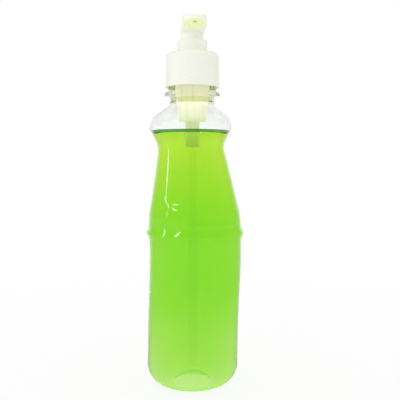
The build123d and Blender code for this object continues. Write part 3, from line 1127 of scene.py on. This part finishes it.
@dataclass
class BlownBottle:
    """The blown bottle, from its domed base up to the rim of its neck, in millimetres."""

    body_radius: float = 29.7
    body_draft: float = 0.4
    heel_radius: float = 13.0
    standing_ring: float = 4.0
    push_up: float = 6.0
    wall: float = 0.35
    bead_height: float = 97.4
    bead_proud: float = 1.6
    bead_half: float = 4.6
    waist: Point = (21.4, 150.4)
    shoulder: Point = (25.7, 164.4)
    neck: Point = (14.1, 178.7)
    ring_bottom: float = 182.9
    ring_top: float = 185.3
    ring_radius: float = 17.3
    lower_bead: Point = (15.0, 189.7)
    finish_radius: float = 12.6
    neck_bore: float = 10.85
    rim: float = 205.6
    bore_margin: float = 0.5
    wet_height: float = 161.6
    bead_bends: Point = (2.0, 2.2)
    grip_bends: Point = (52.0, 11.0)
    waist_bends: Point = (11.0, 9.0)
    shoulder_bends: Point = (9.0, 2.6)
    wall_step: float = 2.4
    neck_step: float = 0.4
    segments: int = 144
    walls: tuple[ClearWall, ...] = (DRY_WALL, WET_WALL, NECK_WALL)

    def base_outline(self, inset: float) -> list[Point]:
        """Outline of the domed base, the standing ring and the heel.

        Args:
            inset: How far it is moved inwards.

        Returns:
            The points from the axis out to the top of the heel.
        """
        ring_outer = self.body_radius - self.body_draft - self.heel_radius
        ring_inner = ring_outer - self.standing_ring
        dome_radius = (ring_inner**2 + self.push_up**2) / (2 * self.push_up)
        dome_centre = (0.0, self.push_up + inset - dome_radius)
        dome_end = math.degrees(math.acos(ring_inner / dome_radius))
        dome = arc(dome_centre, dome_radius, 90.0, dome_end, steps=14)
        heel = arc((ring_outer, self.heel_radius), self.heel_radius - inset, -90.0, 0.0, steps=22)
        return dome + heel

    def outline(self, inset: float) -> list[Point]:
        """Outline of the blown wall from the axis up to the straight neck.

        Args:
            inset: How far it is moved inwards.

        Returns:
            The points in order.
        """
        below = (self.body_radius, self.bead_height - self.bead_half)
        crest = (self.body_radius + self.bead_proud, self.bead_height)
        above = (self.body_radius, self.bead_height + self.bead_half)
        points = self.base_outline(inset)
        points += bend(below, crest, self.bead_bends, inset, steps=8)
        points += bend(crest, above, self.bead_bends[::-1], inset, steps=8)
        points += bend(above, self.waist, self.grip_bends, inset, steps=16)
        points += bend(self.waist, self.shoulder, self.waist_bends, inset, steps=12)
        points += bend(self.shoulder, self.neck, self.shoulder_bends, inset, steps=12)
        return divided(spread(points), self.wall_step)

    def neck_outline(self) -> list[Point]:
        """Outside of the neck, from the shoulder up over the rim and down the bore.

        Returns:
            The points in order.
        """
        low, high = self.ring_bottom, self.ring_top
        bead_radius, bead_top = self.lower_bead
        corners = [
            (*self.neck, 0.0),
            (self.neck[0], low, 0.5),
            (self.ring_radius, low, 0.9),
            (self.ring_radius, high, 0.9),
            (bead_radius, high, 0.5),
            (bead_radius, bead_top, 0.5),
            (self.finish_radius, bead_top, 0.4),
            (self.finish_radius, self.rim, 0.5),
            (self.neck_bore, self.rim, 0.4),
            (self.neck_bore, low, 2.5),
            (self.neck[0] - self.wall, self.neck[1], 0.0),
        ]
        return divided(rounded(corners, steps=5), self.neck_step)

    def wall_at(self, face: Face) -> int:
        """Tell which wall a face shows. The inside of the neck counts as wetted, which is faded out.

        Args:
            face: A face of the bottle.

        Returns:
            The number of the wall's material.
        """
        if face.center.z > self.neck[1] * MM:
            outside = face.center.xy.length > (self.neck_bore + self.bore_margin) * MM
            return (Wall.THICK if outside else Wall.WETTED).value
        return (Wall.WETTED if face.center.z < self.wet_height * MM else Wall.DRY).value

    def build(self) -> Piece:
        """Turn the bottle with its thread, leave the marks of use on it and place it.

        Returns:
            The placed bottle.
        """
        section = self.outline(0.0) + self.neck_outline() + self.outline(self.wall)[::-1]
        thread = Thread(self.finish_radius, turns=2.4, depth=1.9, half_width=1.3)
        walls = [wall.make() for wall in self.walls]
        mesh = turned("blown_bottle", section, walls[0], self.segments, thread)
        wear(mesh, walls, self.wall_at)
        reshape(mesh, WallMarks().press)
        return placed(mesh, Body.BOTTLE, Slot.PET, "bottle")


@dataclass(frozen=True)
class Press:
    """One soft dent, or a swelling where its depth is negative.

    The place and the half sizes are in millimetres, and in degrees to the viewer's right.
    """

    depth: float
    turn: float
    height: float
    span: float
    reach: float


@dataclass(frozen=True)
class Lean:
    """How far the thin wall has set to the viewer's right round one height, in millimetres."""

    shift: float
    height: float
    reach: float


@dataclass(frozen=True)
class WallMarks:
    """What handling leaves in the thin wall: soft swellings and dents at the front and a slight bow."""

    presses: tuple[Press, ...] = (
        Press(-1.3, -26.0, 109.2, 15.0, 6.8),
        Press(0.5, -30.0, 152.0, 9.0, 3.0),
        Press(-0.45, -18.0, 148.5, 7.0, 2.5),
    )
    leans: tuple[Lean, ...] = (Lean(1.9, 86.0, 40.0), Lean(-1.3, 158.0, 16.0))
    full_radius: float = 20.0

    def press(self, places: np.ndarray) -> np.ndarray:
        """Move points of the wall, or of the soap behind it, as the marks do.

        Args:
            places: Points in millimetres, one to a row.

        Returns:
            The moved points.
        """
        moved = places.copy()
        height = places[:, 2]
        radius = np.hypot(places[:, 0], places[:, 1])
        outwards = places[:, :2] / np.maximum(radius, 1e-6)[:, None]
        share = np.clip(radius / self.full_radius, 0.0, 1.0)
        turn = np.degrees(np.arctan2(places[:, :2] @ TO_RIGHT, places[:, :2] @ TO_VIEWER))
        for dent in self.presses:
            across = (turn - dent.turn) / dent.span
            along = (height - dent.height) / dent.reach
            depth = dent.depth * np.exp(-((across**2 + along**2) ** 2)) * share
            moved[:, :2] -= outwards * depth[:, None]
        for lean in self.leans:
            shift = lean.shift * np.exp(-(((height - lean.height) / lean.reach) ** 2))
            moved[:, :2] += TO_RIGHT * (shift * share)[:, None]
        return moved


@dataclass
class SoapFill:
    """The soap, which wets the wall and climbs a little where it meets it, in millimetres."""

    bottle: BlownBottle
    level: float = 160.0
    climb: float = 1.7
    climb_reach: float = 1.2
    near_reaches: float = 5.0
    near_points: int = 15
    far_points: int = 16
    stem_radius: float = 4.47
    stem_climb: float = 1.0
    stem_reach: float = 1.2
    film: float = 0.03
    edge_gap: float = 0.3
    past_dome: int = 20
    rim_lift: float = 0.05
    rim_slope: float = 0.1
    rim_radius: float = 15.0
    finish: DyedSoap = SOAP_BODY
    rim_shade_finish: DyedSoap = SOAP_RIM_PAINTED_SHADE

    def surface(self, edge: float) -> list[Point]:
        """Outline of the soap's top from the wall in to the axis.

        Args:
            edge: Radius of the wall at the level.

        Returns:
            The points in order.
        """
        near = edge - self.climb_reach * np.linspace(0.0, self.near_reaches, self.near_points)
        radii = np.concatenate([near, np.linspace(near[-1], 0.0, self.far_points)[1:]])
        wall_rise = self.climb * np.exp(-(edge - radii) / self.climb_reach)
        stem_rise = self.stem_climb * np.exp(-np.abs(radii - self.stem_radius) / self.stem_reach)
        return list(zip(radii.tolist(), (self.level + wall_rise + stem_rise).tolist()))

    def on_rim(self, face: Face) -> int:
        """Tell, as 1 or 0, whether a face lies where the surface climbs the wall."""
        climbs = face.center.z > (self.level + self.rim_lift) * MM and face.normal.z > self.rim_slope
        return int(climbs and face.center.xy.length > self.rim_radius * MM)

    def build(self) -> Piece:
        """Turn the soap inside the wall, press it as the wall is and place it.

        Returns:
            The placed soap.
        """
        side = self.bottle.outline(self.bottle.wall + self.film)
        top = self.level + self.climb
        wet = [point for point in side if point[1] < top - self.edge_gap]
        radii, heights = zip(*side[self.past_dome :])
        edge = float(np.interp(top, heights, radii))
        body, rim = self.finish.make(), self.rim_shade_finish.make()
        mesh = turned("soap_fill", [*wet, *self.surface(edge)], body, self.bottle.segments)
        # The climbing faces wear the painted shade of the dark band at the level.
        wear(mesh, [body, rim], self.on_rim)
        reshape(mesh, WallMarks().press)
        return placed(mesh, Body.BOTTLE, Slot.SOAP, "liquid_soap")


@dataclass
class Closure:
    """The screw cap and the collar on it, in millimetres."""

    cap_radius: float = 16.9
    cap_draft: float = 0.3
    cap_bore: float = 15.4
    cap_hole: float = 8.6
    cap_foot: float = 188.5
    cap_ceiling: float = 207.9
    cap_top: float = 209.7
    cap_edge: float = 3.0
    band_height: float = 2.2
    band_proud: float = 0.2
    collar_radius: float = 9.5
    collar_bore: float = 7.1
    collar_foot: float = 209.75
    collar_top: float = 217.35
    sleeve_radius: float = 8.3
    sleeve_foot: float = 195.85
    guide: float = 3.3
    web: float = 2.0
    cap_step: float = 0.6
    cap_segments: int = 128
    collar_step: float = 2.0
    collar_segments: int = 112
    finish: MouldedSkin = WHITE_SKIN

    def cap_outline(self) -> list[Point]:
        """Closed outline of the cap's wall.

        Returns:
            The points in order, from one point round to the same.
        """
        band = self.cap_radius + self.band_proud
        band_top = self.cap_foot + self.band_height
        top = self.cap_radius - self.cap_draft
        start = (self.cap_hole, (self.cap_ceiling + self.cap_top) / 2, 0.0)
        corners = [
            start,
            (self.cap_hole, self.cap_ceiling, 0.2),
            (self.cap_bore, self.cap_ceiling, 0.6),
            (self.cap_bore, self.cap_foot, 0.4),
            (band, self.cap_foot, 0.4),
            (band, band_top, 0.2),
            (self.cap_radius - 0.1, band_top + 0.15, 0.15),
            (self.cap_radius, band_top + 0.5, 0.2),
            (top, self.cap_top, self.cap_edge),
            (self.cap_hole, self.cap_top, 0.3),
            start,
        ]
        return divided(rounded(corners, steps=6), self.cap_step)

    def collar_outline(self) -> list[Point]:
        """Closed outline of the collar with its sleeve and web.

        Returns:
            The points in order, from one point round to the same.
        """
        web_top = self.sleeve_foot + self.web
        start = (self.collar_bore, (web_top + self.collar_top) / 2, 0.0)
        corners = [
            start,
            (self.collar_bore, self.collar_top, 0.35),
            (self.collar_radius, self.collar_top, 0.8),
            (self.collar_radius, self.collar_foot, 0.2),
            (self.sleeve_radius, self.collar_foot, 0.2),
            (self.sleeve_radius, self.sleeve_foot, 0.2),
            (self.guide, self.sleeve_foot, 0.2),
            (self.guide, web_top, 0.2),
            (self.collar_bore, web_top, 0.4),
            start,
        ]
        return divided(rounded(corners, steps=5), self.collar_step)

    def build(self) -> list[Piece]:
        """Turn the cap with its inner thread and the collar, and place both.

        Returns:
            The placed cap and collar.
        """
        material = self.finish.make()
        thread = Thread(self.cap_bore, turns=2.0, depth=-0.7, half_width=1.0, phase=0.5)
        cap = turned("screw_cap_skin", self.cap_outline(), material, self.cap_segments, thread)
        collar = turned("collar_skin", self.collar_outline(), material, self.collar_segments)
        return [
            placed(cap, Body.CAP, Slot.WHITE, "screw_cap"),
            placed(collar, Body.PUMP, Slot.WHITE, "pump_collar"),
        ]


@dataclass
class PushHead:
    """The push head with its skirt and nozzle."""

    node: Piece
    grain: float = 0.24 * MM
    finish: MouldedSkin = HEAD_SKIN_PAINTED_LIGHT

    def build(self) -> Piece:
        """Soften the head's edges and place it."""
        mesh = moulded_copy("push_head", self.node, self.finish.make(), self.grain)
        return placed(mesh, Body.HEAD, Slot.WHITE, "pump_head")


@dataclass(frozen=True)
class InnerPiece:
    """A piece of the pump's inside that keeps its CAD shape."""

    node: str
    body: Body
    slot: Slot
    finish: MouldedSkin | MilkyWall | GlassBead


INNER_PIECES = (
    InnerPiece("pump_housing", Body.PUMP, Slot.NATURAL, CREAM_SKIN),
    InnerPiece("dip_tube", Body.PUMP, Slot.SOFT, TUBE_SKIN),
    InnerPiece("neck_gasket", Body.PUMP, Slot.FOAM, FOAM_SKIN),
    InnerPiece("stem", Body.STEM, Slot.WHITE, WHITE_SKIN),
    InnerPiece("stem_plug", Body.STEM, Slot.WHITE, WHITE_SKIN),
    InnerPiece("piston", Body.PISTON, Slot.SOFT, SEAL_SKIN),
    InnerPiece("check_ball", Body.BALL, Slot.BALL, BALL_GLASS),
)


@dataclass
class PumpWorks:
    """What the pump holds: chamber, tube, valve, stem, piston and spring."""

    nodes: dict[str, Piece]
    spring_radius: float = 4.5
    wire_radius: float = 0.45
    spring_foot: float = 169.25
    spring_top: float = 184.8
    spring_turns: float = 6.0
    spring_closing: float = 0.6
    stroke: float = 5.0
    wire: DrawnWire = SPRING_WIRE

    def build(self) -> list[Piece]:
        """Copy the pieces that keep their shape, wind the spring and place all."""
        pieces = [self.build_inner(piece) for piece in INNER_PIECES]
        return [*pieces, self.build_spring()]

    def build_inner(self, piece: InnerPiece) -> Piece:
        """Copy one inner piece with its finish and place it.

        Args:
            piece: The inner piece.

        Returns:
            The placed copy.
        """
        material = bpy.data.materials.get(piece.finish.name) or piece.finish.make()
        mesh = smooth_copy(piece.node + "_skin", self.nodes[piece.node], material)
        return placed(mesh, piece.body, piece.slot, piece.node)

    def build_spring(self) -> Piece:
        """Wind the spring and place it.

        Returns:
            The placed spring.
        """
        tall = self.spring_top - self.spring_foot
        sizes = {
            "Coil Radius": self.spring_radius * MM,
            "Wire Radius": self.wire_radius * MM,
            "Foot": (self.spring_foot + self.wire_radius) * MM,
            "Height": (tall - 2 * self.wire_radius) * MM,
            "Turns": self.spring_turns,
            "End Closing": self.spring_closing,
            "Finish": self.wire.make(),
        }
        mesh = grown("return_coil", bpy.data.meshes.new("coil_seed"), [(coil_tree(), sizes)])
        settle(mesh)
        piece = placed(mesh, Body.PUMP, Slot.STEEL, "return_spring")
        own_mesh(piece)
        return piece


# Studio

BEHIND: Point = (0.6, 0.98)


def share_behind(graph: Graph, place: Socket) -> Socket:
    """Tell, from 0 to 1, how far a place or direction lies behind the bottle from the viewer.

    Args:
        graph: Graph of the floor or the world.
        place: The place or direction.

    Returns:
        The share.
    """
    ahead = (-TO_VIEWER[0], -TO_VIEWER[1], 0.0)
    along = graph.vector("DOT_PRODUCT", graph.vector("NORMALIZE", place), ahead)
    return graph.span(along, BEHIND, smooth=True)


@dataclass(frozen=True)
class PaleFloor:
    """Pale floor that keeps a faint shadow, fades into the white behind and is dim in mirrors."""

    name: str = "pale_floor"
    light: Colour = (0.92, 0.92, 0.91)
    shade: Colour = (0.90, 0.90, 0.89)
    scales: Point = (3.0, 60.0)
    roughness: float = 0.8
    mirrored: Colour = (0.25, 0.25, 0.25)
    fade_reach: Point = (0.05, 0.5)
    fade: Point = (0.86, 1.0)

    def make(self) -> Material:
        """Build the material.

        Returns:
            The material.
        """
        sheet = Sheet(self.name)
        graph, place = sheet.graph, sheet.graph.place()
        path = graph.add("ShaderNodeLightPath").outputs
        colour = graph.mix(sheet.skin(self.scales)["Broad"], self.light, self.shade)
        mirrored = graph.mix(share_behind(graph, place), self.mirrored, WHITE)
        colour = graph.mix(path["Is Glossy Ray"], colour, mirrored)
        sheet.set(Base_Color=colour, Roughness=self.roughness)
        fade = graph.span(graph.vector("LENGTH", place), self.fade_reach, self.fade, smooth=True)
        share = graph.math("MULTIPLY", fade, path["Is Camera Ray"])
        share = graph.math("MAXIMUM", share, path["Is Transmission Ray"])
        sheet.overlay(share, graph.add("ShaderNodeEmission", {"Strength": 1.0}).outputs[0])
        return sheet.material


@dataclass(frozen=True)
class Lamp:
    """An area lamp that faces the bottle, in metres, watts and degrees right of the viewer and up."""

    name: str
    turn: float
    rise: float
    away: float
    size: Point
    power: float
    aim_height: float = 0.12

    def build(self) -> None:
        """Hang the lamp."""
        data = bpy.data.lights.new(self.name, "AREA")
        data.shape = "RECTANGLE"
        data.size, data.size_y = self.size
        data.energy = self.power
        lamp = linked(self.name, data)
        lamp.visible_transmission = False
        turn, rise = math.radians(self.turn), math.radians(self.rise)
        flat = TO_VIEWER * math.cos(turn) + TO_RIGHT * math.sin(turn)
        ray = Vector((*(flat * math.cos(rise)), math.sin(rise)))
        lamp.location = Vector((0.0, 0.0, self.aim_height)) + ray * self.away
        lamp.rotation_euler = ray.to_track_quat("Z", "Y").to_euler()


SOFT_KEY = Lamp("soft_key", turn=-48.0, rise=30.0, away=1.1, size=(0.42, 0.045), power=0.45)
SIDE_STRIP = Lamp("side_strip", turn=-82.0, rise=12.0, away=0.8, size=(0.016, 0.4), power=0.3)


@dataclass
class Studio:
    """Floor, world, lamps and camera round the bottle, in metres."""

    floor_size: float = 8.0
    floor: PaleFloor = PaleFloor()
    ambient: float = 1.0
    mirrored: float = 0.12
    lamps: tuple[Lamp, ...] = (SOFT_KEY, SIDE_STRIP)
    camera_distance: float = 0.369
    camera_height: float = 0.143
    camera_pitch: float = 3.9
    camera_pan: float = 0.75
    nearest: float = 0.01
    lens: float = 52.2

    def build(self) -> None:
        """Build the whole studio."""
        self.build_world()
        self.build_floor()
        for lamp in self.lamps:
            lamp.build()
        self.build_camera()
        bpy.context.scene.view_settings.view_transform = "Standard"

    def build_world(self) -> None:
        """White surroundings, dimmer where the viewer's side of the room is mirrored."""
        world = bpy.data.worlds.new("white_studio")
        bpy.context.scene.world = world
        world.use_nodes = True
        graph = Graph(world.node_tree)
        back = world.node_tree.nodes["Background"].inputs
        graph.feed(back["Color"], WHITE)
        path = graph.add("ShaderNodeLightPath").outputs
        seen = graph.math("MAXIMUM", path["Is Camera Ray"], path["Is Transmission Ray"])
        behind = share_behind(graph, graph.add("ShaderNodeTexCoord").outputs["Generated"])
        mirrored = graph.span(behind, RISING, (self.mirrored, 1.0))
        lit = graph.span(path["Is Glossy Ray"], RISING, (self.ambient, mirrored))
        graph.feed(back["Strength"], graph.math("MAXIMUM", seen, lit))

    def build_floor(self) -> None:
        """Lay the floor."""
        mesh = bpy.data.meshes.new("studio_floor")
        half = self.floor_size / 2
        corners = [(-half, -half, 0.0), (half, -half, 0.0), (half, half, 0.0), (-half, half, 0.0)]
        mesh.from_pydata(corners, [], [(0, 1, 2, 3)])
        mesh.materials.append(self.floor.make())
        floor = linked("studio_floor", mesh)

    def build_camera(self) -> None:
        """Camera at the photograph's place."""
        data = bpy.data.cameras.new("view")
        data.lens = self.lens
        data.clip_start = self.nearest
        camera = linked("view", data)
        spot = TO_VIEWER * self.camera_distance
        camera.location = (spot[0], spot[1], self.camera_height)
        pan, pitch = math.radians(self.camera_pan), math.radians(self.camera_pitch)
        ahead = -TO_VIEWER * math.cos(pan) + TO_RIGHT * math.sin(pan)
        sight = Vector((*(ahead * math.cos(pitch)), -math.sin(pitch)))
        camera.rotation_euler = sight.to_track_quat("-Z", "Y").to_euler()
        bpy.context.scene.camera = camera


def main() -> None:
    """Build the bottle, its soap, its pump and the studio in order."""
    logging.basicConfig(level=logging.INFO, format="%(message)s")
    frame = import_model()
    nodes = frame["nodes"]
    Studio().build()
    bottle = BlownBottle()
    bottle.build()
    SoapFill(bottle).build()
    Closure().build()
    PushHead(nodes["pump_head"]).build()
    PumpWorks(nodes).build()


if __name__ == "__main__":
    main()
